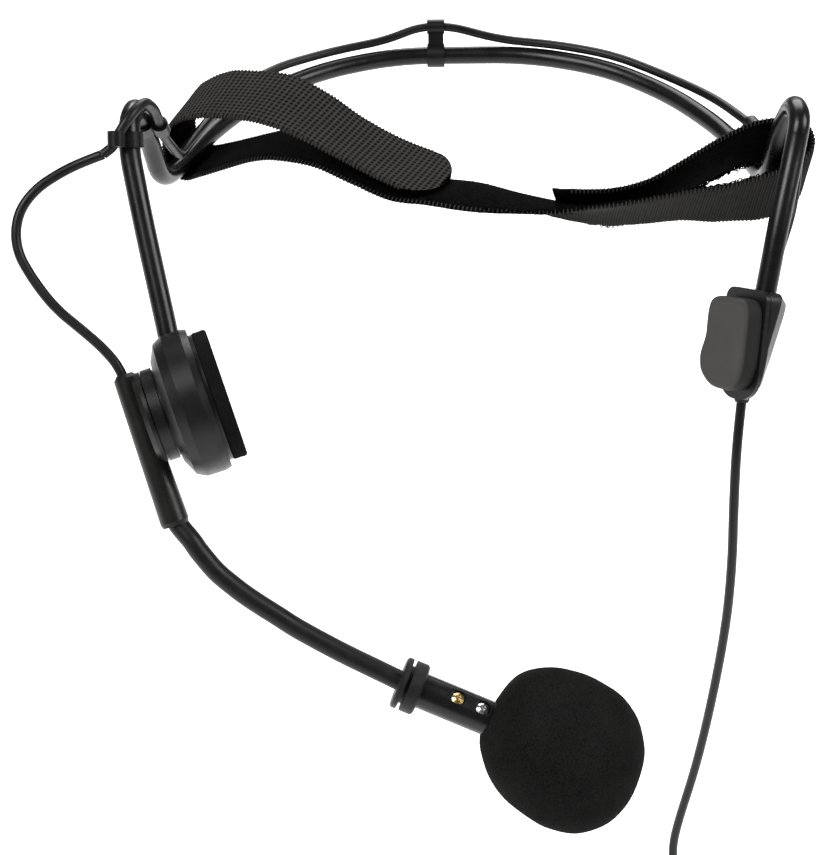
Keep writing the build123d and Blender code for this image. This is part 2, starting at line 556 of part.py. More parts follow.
WALL = 1.5
relief_top = right_plane(8.4, up=-10.4, across=1.0).origin
right_sleeve_in = Vector(*FRAME_ROUTE[-1])
right_sleeve_out = Vector(*FRAME_ROUTE[-2])
right_entry = (right_sleeve_in - right_sleeve_out).normalized()
cable_in = Vector(*HELD_ROUTE[-1])
cable_before = Vector(*HELD_ROUTE[-2])
cable_entry = (cable_in - cable_before).normalized()
with BuildPart() as right_housing:
    with BuildSketch(right_plane(BODY_FACE, across=HOUSING_ACROSS)):
        add(housing_outline(HOUSING_W, HOUSING_H - 0.8, 6.4))
    with BuildSketch(right_plane(HOUSING_BACK - 2.2, across=HOUSING_ACROSS)):
        add(housing_outline(HOUSING_W, HOUSING_H - 0.8, 6.4))
    loft()
    with BuildSketch(right_plane(HOUSING_BACK - 2.2, across=HOUSING_ACROSS)):
        add(housing_outline(HOUSING_W, HOUSING_H - 0.8, 6.4))
    with BuildSketch(right_plane(HOUSING_BACK, up=2.0, across=HOUSING_ACROSS)):
        add(housing_outline(HOUSING_W - 4.4, HOUSING_H - 8.6, 4.4))
    loft()
    with BuildSketch(right_plane(BODY_FACE, up=0.9, across=HOUSING_ACROSS)):
        add(housing_outline(HOUSING_W - 2 * WALL, HOUSING_H - 2.6 - 2 * WALL, 4.8))
    extrude(amount=HOUSING_BACK - 1.4 - BODY_FACE, mode=Mode.SUBTRACT)
    add(Solid.make_cylinder(SLEEVE_R + SEAT_GAP, 16, Plane(origin=right_sleeve_in - right_entry * 16,
                                                          z_dir=right_entry)), mode=Mode.SUBTRACT)
    add(Solid.make_cylinder(CABLE_R + SEAT_GAP, 8, Plane(origin=cable_in - cable_entry * 7,
                                                        z_dir=cable_entry)), mode=Mode.SUBTRACT)
    add(Solid.make_cylinder(1.87, 9, Plane(origin=relief_top + RIGHT_UP * 2, z_dir=-RIGHT_UP)),
        mode=Mode.SUBTRACT)
save(right_housing, "right_housing")

across_right = right_entry.cross(RIGHT_OUT).normalized()
right_wire_anchor, right_anchor_screw = wire_anchor(right_sleeve_in, right_entry, across_right)
save(right_wire_anchor, "right_wire_anchor")
save(right_anchor_screw, "right_anchor_screw")

# Strain relief: a short tapered grommet seated in the bottom of the housing.
save(turned([(CABLE_R + SEAT_GAP, 0), (1.7, 0), (1.85, 0.8), (1.85, 2.8), (1.6, 3.6),
             (CABLE_R + SEAT_GAP, 3.6)], relief_top, -RIGHT_UP, RIGHT_OUT), "right_strain_relief")

# ---------------------------------------------------------------- lead, coil and connector
lead_cable = swept(LEAD_ROUTE, CABLE_R)
save(lead_cable, "lead_cable")
print("lead radii", [round(radius, 1) for radius in bend_radii(LEAD_ROUTE)])
for name, piece, route in (("held", frame_cable, HELD_ROUTE), ("loop", boom_cable_loop, LOOP_ROUTE),
                           ("lead", lead_cable, LEAD_ROUTE)):
    print(name, "length", round(piece.part.volume / (pi * CABLE_R ** 2), 1))

with BuildPart() as lead_coil:
    with BuildSketch(Plane(origin=COIL_CENTRE, x_dir=(1, 0, 0), z_dir=(0, 0, 1))):
        with Locations((COIL_TURN_R, 0)):
            RectangleRounded(COIL_SECTION, COIL_SECTION, 2.4)
    revolve(axis=Axis(tuple(COIL_CENTRE), (0, 1, 0)))
save(lead_coil, "lead_coil")

# The tail of the lead leaves the coil downwards and ends in a locking miniature plug.
TAIL_TOP = BOOT_TOP + Vector(0, 0, 11.5)
DOWN = Vector(0, 0, -1)
SIDE = Vector(1, 0, 0)


def plug_turned(outline):
    return turned(outline, BOOT_TOP, DOWN, SIDE)


with BuildPart() as lead_tail:
    with BuildSketch(Plane(origin=TAIL_TOP, z_dir=DOWN)):
        Circle(CABLE_R)
    extrude(amount=TAIL_TOP.Z - BOOT_TOP.Z + 4.0)
save(lead_tail, "lead_tail")

# Hook-and-loop tie round the bundle of turns, on the side away from the plug.
tie_plane = Plane(origin=COIL_CENTRE - SIDE * COIL_TURN_R, x_dir=SIDE, z_dir=(0, 0, 1))
with BuildPart() as coil_tie:
    with BuildSketch(tie_plane):
        RectangleRounded(COIL_SECTION + 2.2, COIL_SECTION + 2.2, 3.2)
        RectangleRounded(COIL_SECTION + 0.6, COIL_SECTION + 0.6, 2.5, mode=Mode.SUBTRACT)
    extrude(amount=4.0, both=True)
    add(lead_coil.part, mode=Mode.SUBTRACT)
save(coil_tie, "coil_tie")

SHELL_R = 4.2
COLLAR_LOW = 21.0
COLLAR_HIGH = 30.0
SHELL_END = 31.0
PLUG_START = 16.0
save(plug_turned([(CABLE_R + SEAT_GAP, 0), (1.9, 0), (3.0, 11.0), (3.4, 12.0), (CABLE_R + SEAT_GAP, 12.0)]),
     "connector_boot")
save(plug_turned([(0, 12.0), (3.5, 12.0), (SHELL_R, 13.2), (SHELL_R, COLLAR_LOW - 0.6), (3.9, COLLAR_LOW - 0.4),
                  (3.9, SHELL_END), (PLUG_STEM_R + SEAT_GAP, SHELL_END),
                  (PLUG_STEM_R + SEAT_GAP, PLUG_START), (0, PLUG_START)]), "connector_shell")
with BuildPart() as lock_collar:
    add(plug_turned(ring_outline(3.9 + RUNNING_GAP, 5.1, COLLAR_LOW, COLLAR_HIGH)).part)
    with BuildSketch(Plane(origin=BOOT_TOP + DOWN * (COLLAR_LOW + 1.2), z_dir=DOWN)):
        with PolarLocations(5.2, 18):
            Circle(0.22)
    extrude(amount=COLLAR_HIGH - COLLAR_LOW - 2.4, mode=Mode.SUBTRACT)
save(lock_collar, "lock_collar")

# Three-contact plug: sleeve, ring and tip on one axis with insulating rings between them.
SLEEVE_END = SHELL_END + PLUG_SLEEVE_OUT
RING_LOW = SLEEVE_END + 0.8
RING_HIGH = RING_LOW + 2.4
TIP_LOW = RING_HIGH + 0.7
TIP_END = SHELL_END + PLUG_LENGTH
ROD_R = 0.88             # insulated rod inside the contacts
CONTACT_BORE_R = 0.9
INSULATOR_R = PLUG_R - 0.25
save(plug_turned([(CONTACT_BORE_R, PLUG_START), (PLUG_STEM_R, PLUG_START), (PLUG_STEM_R, SHELL_END),
                  (PLUG_R, SHELL_END), (PLUG_R, SLEEVE_END), (CONTACT_BORE_R, SLEEVE_END)]), "plug_sleeve")
save(plug_turned(ring_outline(CONTACT_BORE_R, PLUG_R, RING_LOW, RING_HIGH)), "plug_ring")
save(plug_turned([(0, PLUG_START), (ROD_R, PLUG_START), (ROD_R, SLEEVE_END), (INSULATOR_R, SLEEVE_END),
                  (INSULATOR_R, RING_LOW), (ROD_R, RING_LOW), (ROD_R, RING_HIGH), (INSULATOR_R, RING_HIGH),
                  (INSULATOR_R, TIP_LOW), (0, TIP_LOW)]), "plug_insulator")
save(plug_turned([(0, TIP_LOW), (1.3, TIP_LOW), (1.3, TIP_LOW + 0.5), (PLUG_R, TIP_LOW + 1.7),
                  (0.5, TIP_END), (0, TIP_END)]), "plug_tip")
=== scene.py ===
"""Looks of a headset microphone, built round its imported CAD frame. Metres, in the part's own frame."""
import json
import math

import bpy
import numpy as np
from mathutils import Euler, Matrix, Vector, noise


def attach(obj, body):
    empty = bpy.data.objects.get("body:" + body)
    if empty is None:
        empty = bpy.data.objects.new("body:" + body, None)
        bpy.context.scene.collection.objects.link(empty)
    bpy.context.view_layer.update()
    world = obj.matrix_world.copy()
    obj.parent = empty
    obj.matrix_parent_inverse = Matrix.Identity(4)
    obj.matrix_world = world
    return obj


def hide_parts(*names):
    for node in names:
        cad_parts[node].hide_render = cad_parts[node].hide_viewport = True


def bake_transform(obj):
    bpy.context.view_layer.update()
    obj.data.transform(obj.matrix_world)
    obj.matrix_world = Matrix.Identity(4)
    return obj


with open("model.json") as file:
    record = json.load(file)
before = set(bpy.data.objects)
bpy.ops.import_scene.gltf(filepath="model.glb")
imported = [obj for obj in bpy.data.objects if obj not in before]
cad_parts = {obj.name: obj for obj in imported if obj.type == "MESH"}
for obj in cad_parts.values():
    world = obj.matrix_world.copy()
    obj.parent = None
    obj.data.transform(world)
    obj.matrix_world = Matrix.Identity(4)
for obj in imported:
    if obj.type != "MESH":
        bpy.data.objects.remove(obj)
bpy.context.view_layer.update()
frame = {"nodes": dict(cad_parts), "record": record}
nodes = frame["nodes"]
scene = bpy.context.scene
MM = 0.001


def unit(v):
    v = np.asarray(v, float)
    return v / np.linalg.norm(v)


def smooth(x):
    x = np.clip(x, 0, 1)
    return x * x * (3 - 2 * x)


# ---------------------------------------------------------------- camera
PITCH_DOWN = 34.0
YAW = 1.632
camera_data = bpy.data.cameras.new("view")
camera_data.lens = 72.42
camera_data.sensor_width = 36
camera = bpy.data.objects.new("view", camera_data)
pitch = Euler((math.radians(90 - PITCH_DOWN), 0, 0)).to_matrix()
turn = pitch @ Matrix.Rotation(math.radians(YAW), 3, "Y")
camera.matrix_world = Matrix.Translation((0, -0.37892, 0.16683)) @ turn.to_4x4()
scene.collection.objects.link(camera)
scene.camera = camera


# ---------------------------------------------------------------- node helpers
class Nodes:
    """A material's node tree, with short calls for the nodes used here."""

    def __init__(self, name):
        self.material = bpy.data.materials.new(name)
        self.material.use_nodes = True
        self.tree = self.material.node_tree
        self.shader = self.tree.nodes["Principled BSDF"]
        self.place = self.tree.nodes.new("ShaderNodeTexCoord")

    def add(self, kind, **inputs):
        node = self.tree.nodes.new(kind)
        for key, value in inputs.items():
            self.put(node.inputs[key.replace("_", " ")], value)
        return node

    def put(self, socket, value):
        if isinstance(value, bpy.types.NodeSocket):
            self.tree.links.new(value, socket)
        else:
            socket.default_value = value

    def noise(self, scale, detail=4.0, roughness=0.55, where=None):
        where = where or self.place.outputs["Object"]
        node = self.add("ShaderNodeTexNoise", Vector=where, Scale=scale, Detail=detail, Roughness=roughness)
        return node.outputs["Fac"]

    def cells(self, scale):
        node = self.add("ShaderNodeTexVoronoi", Vector=self.place.outputs["Object"], Scale=scale)
        return node.outputs["Distance"]

    def span(self, value, low, high, new_low, new_high):
        node = self.tree.nodes.new("ShaderNodeMapRange")
        for socket, number in zip(node.inputs[1:5], (low, high, new_low, new_high)):
            socket.default_value = number
        self.put(node.inputs[0], value)
        return node.outputs[0]

    def math(self, operation, first, second=0.0):
        node = self.tree.nodes.new("ShaderNodeMath")
        node.operation = operation
        self.put(node.inputs[0], first)
        self.put(node.inputs[1], second)
        return node.outputs[0]

    def ramp(self, value, *stops):
        node = self.add("ShaderNodeValToRGB", Fac=value)
        first, last = node.color_ramp.elements
        first.position, first.color = stops[0][0], (*stops[0][1], 1)
        last.position, last.color = stops[-1][0], (*stops[-1][1], 1)
        for position, colour in stops[1:-1]:
            node.color_ramp.elements.new(position).color = (*colour, 1)
        return node.outputs["Color"]

    def bump(self, height, distance, strength=1.0, normal=None):
        node = self.add("ShaderNodeBump", Height=height, Distance=distance, Strength=strength)
        if normal is not None:
            self.put(node.inputs["Normal"], normal)
        return node.outputs["Normal"]

    def finish(self, colour, roughness, normal=None, **fixed):
        self.put(self.shader.inputs["Base Color"], colour)
        self.put(self.shader.inputs["Roughness"], roughness)
        if normal is not None:
            self.put(self.shader.inputs["Normal"], normal)
        for key, value in fixed.items():
            self.shader.inputs[key.replace("_", " ")].default_value = value
        return self.material


def grey(level, warm=0.0):
    return (level * (1 + warm), level, level * (1 - warm))


def moulded(name, dark, light, roughness, grain=2600.0, depth=0.00003, warm=0.0, **fixed):
    """Moulded plastic or rubber: fine spark-eroded grain, faint mottling, rubbed smoother in places."""
    m = Nodes(name)
    mottle = m.noise(95.0, 5.0)
    grain_height = m.noise(grain, 3.0, 0.7)
    wear = m.noise(260.0, 6.0, 0.62)
    mixed = m.math("ADD", m.math("MULTIPLY", mottle, 0.6), m.math("MULTIPLY", grain_height, 0.4))
    middle = (dark + light) / 2
    colour = m.ramp(mixed, (0.3, grey(dark, warm)), (0.52, grey(middle, warm)), (0.72, grey(light, warm)))
    rough = m.span(m.math("ADD", wear, grain_height), 0.7, 1.3, roughness - 0.07, roughness + 0.08)
    return m.finish(colour, rough, m.bump(grain_height, depth), **fixed)


def drawn_metal(name, dark, light, roughness, scale=1800.0):
    """Machined or drawn metal: fine turning marks, slight tarnish."""
    m = Nodes(name)
    stretch = m.add("ShaderNodeMapping", Vector=m.place.outputs["Object"], Scale=(1.0, 1.0, 6.0))
    marks = m.noise(scale, 2.0, 0.5, stretch.outputs["Vector"])
    tarnish = m.noise(420.0, 5.0, 0.6)
    colour = m.ramp(m.math("ADD", m.math("MULTIPLY", tarnish, 0.7), m.math("MULTIPLY", marks, 0.3)),
                    (0.3, dark), (0.7, light))
    rough = m.span(tarnish, 0.3, 0.7, roughness - 0.06, roughness + 0.1)
    return m.finish(colour, rough, m.bump(marks, 0.00001, 0.6), Metallic=1.0)


def vinyl():
    """Flexible vinyl sleeve: smooth, glossy enough for long highlights, with faint drawing marks."""
    m = Nodes("vinyl_sleeve")
    haze = m.noise(140.0, 6.0, 0.6)
    skin = m.noise(1500.0, 3.0, 0.5)
    colour = m.ramp(haze, (0.3, grey(0.0028)), (0.55, grey(0.0036)), (0.75, grey(0.0052, 0.03)))
    rough = m.span(m.math("ADD", haze, m.math("MULTIPLY", skin, 0.4)), 0.5, 0.9, 0.24, 0.36)
    normal = m.bump(skin, 0.000008, 0.5, m.bump(m.noise(40.0, 2.0), 0.00008, 0.4))
    return m.finish(colour, rough, normal, Specular_IOR_Level=0.3)


def jacket(name, level, roughness):
    """Extruded cable jacket: satin, a little dusty, with faint lengthwise marks."""
    m = Nodes(name)
    dust = m.noise(330.0, 6.0, 0.65)
    skin = m.noise(3200.0, 2.0, 0.5)
    colour = m.ramp(dust, (0.3, grey(level * 0.75)), (0.55, grey(level)), (0.78, grey(level * 1.5, 0.03)))
    worn = m.math("ADD", dust, m.math("MULTIPLY", skin, 0.5))
    rough = m.span(worn, 0.5, 1.0, roughness - 0.08, roughness + 0.1)
    return m.finish(colour, rough, m.bump(skin, 0.000012, 0.6), Specular_IOR_Level=0.24)


def foam(name, level, pore_scale, depth, warm=0.03):
    """Open-cell foam: pores painted dark as shade between fine struts, fully matt with a soft sheen."""
    m = Nodes(name)
    pores = m.cells(pore_scale)
    fine = m.cells(pore_scale * 2.3)
    mottle = m.noise(120.0, 5.0)
    height = m.math("ADD", m.math("MULTIPLY", pores, 0.65), m.math("MULTIPLY", fine, 0.35))
    shade = m.math("ADD", m.math("MULTIPLY", height, 0.7), m.math("MULTIPLY", mottle, 0.35))
    # Painted shade: the colour follows the cells' depth, so the sunken pores are painted dark; the mottle
    # varies the tone at random.
    colour = m.ramp(shade, (0.2, grey(level * 1.5, warm)), (0.45, grey(level, warm)),
                    (0.75, grey(level * 0.45, warm)))
    rough = m.span(mottle, 0.3, 0.7, 0.9, 1.0)
    return m.finish(colour, rough, m.bump(m.math("SUBTRACT", 1.0, height), depth), Specular_IOR_Level=0.03)


def webbing(name, level, rib_pitch, pit_pitch, depth):
    """Knitted loop webbing: ribs across it, rows of small pits between them painted dark as shade, fuzzy
    yarn.
    """
    m = Nodes(name)
    parts = m.add("ShaderNodeSeparateXYZ", Vector=m.place.outputs["UV"])
    along = m.math("MULTIPLY", parts.outputs["X"], 2 * math.pi / rib_pitch)
    across = m.math("MULTIPLY", parts.outputs["Y"], 2 * math.pi / pit_pitch)
    rib = m.span(m.math("COSINE", along), -1, 1, 0, 1)
    row = m.span(m.math("COSINE", across), -1, 1, 0, 1)
    pit = m.math("MULTIPLY", m.math("SUBTRACT", 1.0, rib), m.math("SUBTRACT", 1.0, row))
    yarn = m.noise(2600.0, 4.0, 0.7)
    patch = m.noise(180.0, 4.0)
    height = m.math("ADD", m.math("SUBTRACT", m.math("MULTIPLY", rib, 0.3), m.math("MULTIPLY", pit, 1.2)),
                    m.math("MULTIPLY", yarn, 0.5))
    shade = m.math("ADD", height, m.math("MULTIPLY", patch, 0.35))
    # Painted shade: the colour follows the height, so the pits and other low places are painted dark; the
    # patches vary the tone at random.
    colour = m.ramp(m.span(shade, -0.8, 1.0, 0, 1), (0.2, grey(level * 0.08)),
                    (0.55, grey(level * 0.7, 0.04)), (0.92, grey(level * 2.0, 0.05)))
    rough = m.span(yarn, 0.3, 0.7, 0.82, 0.98)
    return m.finish(colour, rough, m.bump(height, depth), Specular_IOR_Level=0.07)


def pile(name, level):
    """Brushed loop pile: very dark, soft, tangled."""
    m = Nodes(name)
    tangle = m.noise(1900.0, 6.0, 0.75)
    clump = m.cells(900.0)
    shade = m.math("SUBTRACT", tangle, m.math("MULTIPLY", clump, 0.5))
    colour = m.ramp(shade, (0.1, grey(level * 0.4)), (0.4, grey(level)), (0.7, grey(level * 2.4, 0.03)))
    rough = m.span(tangle, 0.3, 0.7, 0.88, 1.0)
    return m.finish(colour, rough, m.bump(shade, 0.0002), Specular_IOR_Level=0.03)


REST_FACE = np.array((60.2, -34.8, -41.6))
REST_OUT = unit((0.870, 0.406, -0.274))


def rest_rubber():
    """Rubber rest pad: mottled, grained rubber, kept light on its face and painted darker round its side as
    shade.
    """
    m = Nodes("rest_rubber")
    dot = m.add("ShaderNodeVectorMath")
    dot.operation = "DOT_PRODUCT"
    m.put(dot.inputs[0], m.place.outputs["Object"])
    m.put(dot.inputs[1], tuple(REST_OUT))
    face = float(REST_FACE.dot(REST_OUT)) * MM
    # Painted shade: this mask darkens the colour from the pad's face onto its side, standing in for the
    # shade the side falls into.
    facing = m.span(dot.outputs["Value"], face + 0.0002, face + 0.0011, 1.0, 0.0)
    mottle = m.noise(120.0, 5.0)
    grain = m.noise(2000.0, 3.0, 0.7)
    shade = m.math("ADD", m.math("MULTIPLY", facing, 0.7),
                   m.math("ADD", m.math("MULTIPLY", mottle, 0.2), m.math("MULTIPLY", grain, 0.1)))
    colour = m.ramp(shade, (0.05, grey(0.006)), (0.28, grey(0.010, 0.03)), (0.7, grey(0.034, 0.05)),
                    (0.95, grey(0.05, 0.05)))
    return m.finish(colour, m.span(grain, 0.3, 0.7, 0.58, 0.72), m.bump(grain, 0.00003),
                    Specular_IOR_Level=0.2)


MATERIALS = {
    "vinyl_sleeve": vinyl(),
    "spring_steel": drawn_metal("spring_steel", (0.32, 0.32, 0.33), (0.52, 0.52, 0.54), 0.3),
    "cable_jacket": jacket("cable_jacket", 0.0045, 0.38),
    "moulded_plastic": moulded("moulded_plastic", 0.0038, 0.0075, 0.36, Specular_IOR_Level=0.26),
    "clip_plastic": moulded("clip_plastic", 0.0035, 0.007, 0.34, 2200.0, Specular_IOR_Level=0.24),
    "boom_jacket": jacket("boom_jacket", 0.0052, 0.4),
    "holder_rubber": moulded("holder_rubber", 0.0045, 0.0085, 0.34, 3000.0, 0.00002, 0.05,
                             Specular_IOR_Level=0.3),
    "foam": foam("foam", 0.0095, 2400.0, 0.00008),
    "pad_foam": foam("pad_foam", 0.0075, 3600.0, 0.00006, 0.01),
    "rest_rubber": rest_rubber(),
    "strap_fabric": webbing("strap_fabric", 0.02, 0.0014, 0.0013, 0.0003),
    "barrel_paint": moulded("barrel_paint", 0.0032, 0.006, 0.27, 3400.0, 0.000008, Specular_IOR_Level=0.32),
    "brass": drawn_metal("brass", (0.5, 0.33, 0.12), (0.8, 0.6, 0.28), 0.26),
    "screw_steel": drawn_metal("screw_steel", (0.42, 0.42, 0.42), (0.72, 0.72, 0.72), 0.24),
    "plated_contact": drawn_metal("plated_contact", (0.62, 0.61, 0.6), (0.82, 0.81, 0.8), 0.14),
    "insulator": moulded("insulator", 0.006, 0.012, 0.42, Specular_IOR_Level=0.3),
    "seal_rubber": moulded("seal_rubber", 0.004, 0.008, 0.48, 2400.0, Specular_IOR_Level=0.26),
    "circuit_board": moulded("circuit_board", 0.03, 0.05, 0.4),
    "shell_metal": moulded("shell_metal", 0.008, 0.016, 0.28, 2800.0, 0.00001, Metallic=0.6),
}
PILE = pile("strap_pile", 0.003)
BACKING = webbing("strap_backing", 0.011, 0.0007, 0.0007, 0.00004)

for part in frame["record"]["subparts"]:
    part_mesh = nodes[part["node"]].data
    part_mesh.materials.clear()
    part_mesh.materials.append(MATERIALS[part["material_slot"]])


# ---------------------------------------------------------------- mesh helpers
def build(name, points, faces, slot, body=None, indices=None, uvs=None, materials=None):
    """A smooth-shaded piece from points and faces, with its slot's material."""
    mesh = bpy.data.meshes.new(name)
    mesh.from_pydata([tuple(p) for p in points], [], faces)
    mesh.polygons.foreach_set("use_smooth", [True] * len(mesh.polygons))
    if uvs is not None:
        layer = mesh.uv_layers.new(name="flat")
        order = np.empty(len(mesh.loops), int)
        mesh.loops.foreach_get("vertex_index", order)
        layer.data.foreach_set("uv", np.asarray(uvs, float)[order].ravel())
    for material in materials or [MATERIALS[slot]]:
        mesh.materials.append(material)
    if indices is not None:
        mesh.polygons.foreach_set("material_index", indices)
    piece = bpy.data.objects.new(name, mesh)
    scene.collection.objects.link(piece)
    if body:
        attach(piece, body)
    return piece


def rings_to_faces(count, size, capped=True):
    """Quads between successive closed rings of points, with end caps."""
    faces = []
    for i in range(count - 1):
        for j in range(size):
            k = (j + 1) % size
            faces.append((i * size + j, i * size + k, (i + 1) * size + k, (i + 1) * size + j))
    if capped:
        faces.append(tuple(reversed(range(size))))
        faces.append(tuple(range((count - 1) * size, count * size)))
    return faces


def through(values, count=24):
    """A smooth curve through rows of numbers, with its own slopes at the ends."""
    rows = np.asarray(values, float)
    ends = np.vstack([2 * rows[0] - rows[1], rows, 2 * rows[-1] - rows[-2]])
    pieces = []
    for a, b, c, d in zip(ends, ends[1:], ends[2:], ends[3:]):
        for t in np.linspace(0, 1, count, endpoint=False):
            pieces.append(0.5 * (2 * b + (c - a) * t + (2 * a - 5 * b + 4 * c - d) * t * t
                                 + (3 * b - a - 3 * c + d) * t ** 3))
    return np.array(pieces + [rows[-1]])


def tube_rings(path, radius, sides):
    """Round sections along closely spaced points, carried along without twist."""
    path = np.asarray(path, float)
    tangents = np.gradient(path, axis=0)
    tangents /= np.linalg.norm(tangents, axis=1)[:, None]
    side = unit(np.cross(tangents[0], (0.31, 0.2, 0.93)))
    rings = []
    angles = np.linspace(0, 2 * math.pi, sides, endpoint=False)
    for point, tangent in zip(path, tangents):
        side = unit(side - tangent * side.dot(tangent))
        other = np.cross(tangent, side)
        rings.append(point + radius * (np.outer(np.cos(angles), side) + np.outer(np.sin(angles), other)))
    return rings


def spline(name, points, radius=0.0):
    """A curve of one open NURBS spline with these control points, in millimetres."""
    curve = bpy.data.curves.new(name, "CURVE")
    curve.dimensions = "3D"
    line = curve.splines.new("NURBS")
    line.points.add(len(points) - 1)
    for knot, point in zip(line.points, points):
        knot.co = (*(c * MM for c in point), 1.0)
    line.order_u = 3
    line.use_endpoint_u = True
    line.resolution_u = 8
    curve.bevel_depth = radius
    curve.bevel_resolution = 5
    curve.use_fill_caps = True
    piece = bpy.data.objects.new(name, curve)
    scene.collection.objects.link(piece)
    return piece


def spline_points(points, spacing):
    """Evenly spaced points along the NURBS spline of these control points, in metres."""
    guide = spline("guide", points)
    bpy.context.view_layer.update()
    line = bpy.data.meshes.new_from_object(guide)
    dense = np.array([v.co for v in line.vertices], float)
    bpy.data.objects.remove(guide)
    bpy.data.meshes.remove(line)
    lengths = np.concatenate([[0], np.cumsum(np.linalg.norm(np.diff(dense, axis=0), axis=1))])
    stops = np.linspace(0, lengths[-1], max(2, int(lengths[-1] / spacing)))
    return np.stack([np.interp(stops, lengths, dense[:, k]) for k in range(3)], axis=1)


# ---------------------------------------------------------------- cords
CABLE_R = 1.2
CABLE_SIDES = 20
LEAD_ROUTE = [
    (66.15, -35.0, -53.6), (65.5, -38.2, -60.4), (65.0, -41.5, -69.4), (65.3, -43.9, -82.4),
    (66.2, -45.0, -98.6), (66.4, -45.3, -117.5), (65.0, -45.1, -143.2), (62.6, -45.0, -168.4),
    (59.2, -45.0, -189.8), (58.2, -45.8, -199.6), (59.6, -46.8, -207.2), (62.4, -48.0, -213.0),
]
COIL_CENTRE = (50.0, -45.0, -228.0)
# Each turn's middle radius and its place along the coil's axis: outer layer to outer layer.
TURNS = [
    (17.1, -3.6), (14.7, -3.6), (12.3, -3.6), (9.9, -1.2), (12.3, -1.2), (14.7, -1.2), (17.1, -1.2),
    (17.1, 1.2), (14.7, 1.2), (12.3, 1.2), (9.9, 1.2), (12.3, 3.6), (14.7, 3.6), (17.1, 3.6),
]
POINTS_PER_TURN = 16
COIL_IN = 28.0           # degrees up from the coil's right side


def coil_points():
    """Tied turns, clockwise seen from the front, each easing into the next near its end."""
    points = []
    for number, (radius, place) in enumerate(TURNS):
        after = TURNS[min(number + 1, len(TURNS) - 1)]
        for step in range(POINTS_PER_TURN):
            share = float(smooth((step / POINTS_PER_TURN - 0.7) / 0.3))
            r = radius + (after[0] - radius) * share
            y = place + (after[1] - place) * share
            angle = math.radians(COIL_IN - 360.0 * step / POINTS_PER_TURN)
            points.append((COIL_CENTRE[0] + r * math.cos(angle), COIL_CENTRE[1] + y,
                           COIL_CENTRE[2] + r * math.sin(angle)))
    return points


TAIL_ROUTE = [
    (67.0, -41.5, -226.0), (66.6, -42.2, -232.5), (65.2, -43.6, -238.0), (64.0, -44.6, -243.0),
    (63.5, -45.0, -247.5), (63.5, -45.0, -254.0),
]
lead = spline("lead", LEAD_ROUTE + coil_points() + TAIL_ROUTE, CABLE_R * MM)
lead.data.materials.append(MATERIALS["cable_jacket"])
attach(lead, "root")
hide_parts("lead_cable", "lead_coil", "lead_tail")

LOOP_ROUTE = [
    (-77.9, -45.3, -46.2), (-79.2, -43.4, -42.9), (-83.4, -40.6, -39.0), (-88.5, -38.2, -35.4),
    (-94.4, -35.6, -31.4), (-99.6, -32.0, -25.7), (-103.4, -28.4, -19.9), (-103.2, -24.2, -13.4),
    (-99.2, -20.4, -8.6), (-92.6, -16.6, -5.6), (-87.4, -14.9, -3.9), (-83.5, -14.22, -2.66),
]
loop_path = spline_points(LOOP_ROUTE, 0.0008)
loop_rings = tube_rings(loop_path, CABLE_R * MM, CABLE_SIDES)
loop_faces = rings_to_faces(len(loop_rings), CABLE_SIDES)
loop = build("loop", np.concatenate(loop_rings), loop_faces, "cable_jacket")
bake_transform(loop)
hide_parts("boom_cable_loop")

# ---------------------------------------------------------------- boom
BOOM_R = 2.4
BOOM_SIDES = 28
# Down through the boom holder, then one easy curve across the cheek to the moisture ring.
BOOM_ROUTE = [
    (-73.3, -51.8, -57.0), (-69.9, -57.0, -65.8), (-67.0, -61.0, -72.9), (-62.9, -64.3, -77.0),
    (-61.0, -65.6, -79.4), (-57.4, -67.6, -83.3), (-53.7, -69.0, -86.3), (-49.5, -70.4, -89.2),
    (-43.0, -72.0, -93.3), (-38.0, -73.2, -96.4), (-28.8, -75.3, -101.1), (-19.4, -77.6, -105.1),
    (-13.4, -79.3, -107.4),
]
BEND_REAR = (-55.47, -69.52, -88.89)
BEND_FRONT = (-29.95, -75.97, -101.59)
CHEEK_RUN = unit((0.767, -0.271, -0.616))
FRONT_RUN = unit((0.924, -0.191, -0.332))
boom_rings = tube_rings(through(BOOM_ROUTE) * MM, BOOM_R * MM, BOOM_SIDES)
boom_middles = np.array([ring.mean(axis=0) for ring in boom_rings])
meeting = np.array((-41.4, -73.6, -97.5)) * MM
split = int(np.argmin(np.linalg.norm(boom_middles - meeting, axis=1)))
boom_pieces = (
    ("boom_rear_jacket", boom_rings[:split + 1], ("boom_rear", "boom_middle"), BEND_REAR, CHEEK_RUN),
    ("boom_front_jacket", boom_rings[split:], ("boom_middle", "boom_front"), BEND_FRONT, FRONT_RUN),
)
for name, rings, bodies, middle, run in boom_pieces:
    faces = rings_to_faces(len(rings), BOOM_SIDES, capped=False)
    piece = build(name, np.concatenate(rings), faces, "boom_jacket")
    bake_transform(piece)
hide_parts("gooseneck_jacket_rear", "gooseneck_jacket_middle",
            "gooseneck_core_rear", "gooseneck_core_middle")
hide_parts("gooseneck_jacket_front", "gooseneck_core_front")

# ---------------------------------------------------------------- strap
STRAP_W = 20.0
STRAP_T = 1.3
RIB_PITCH = 1.4
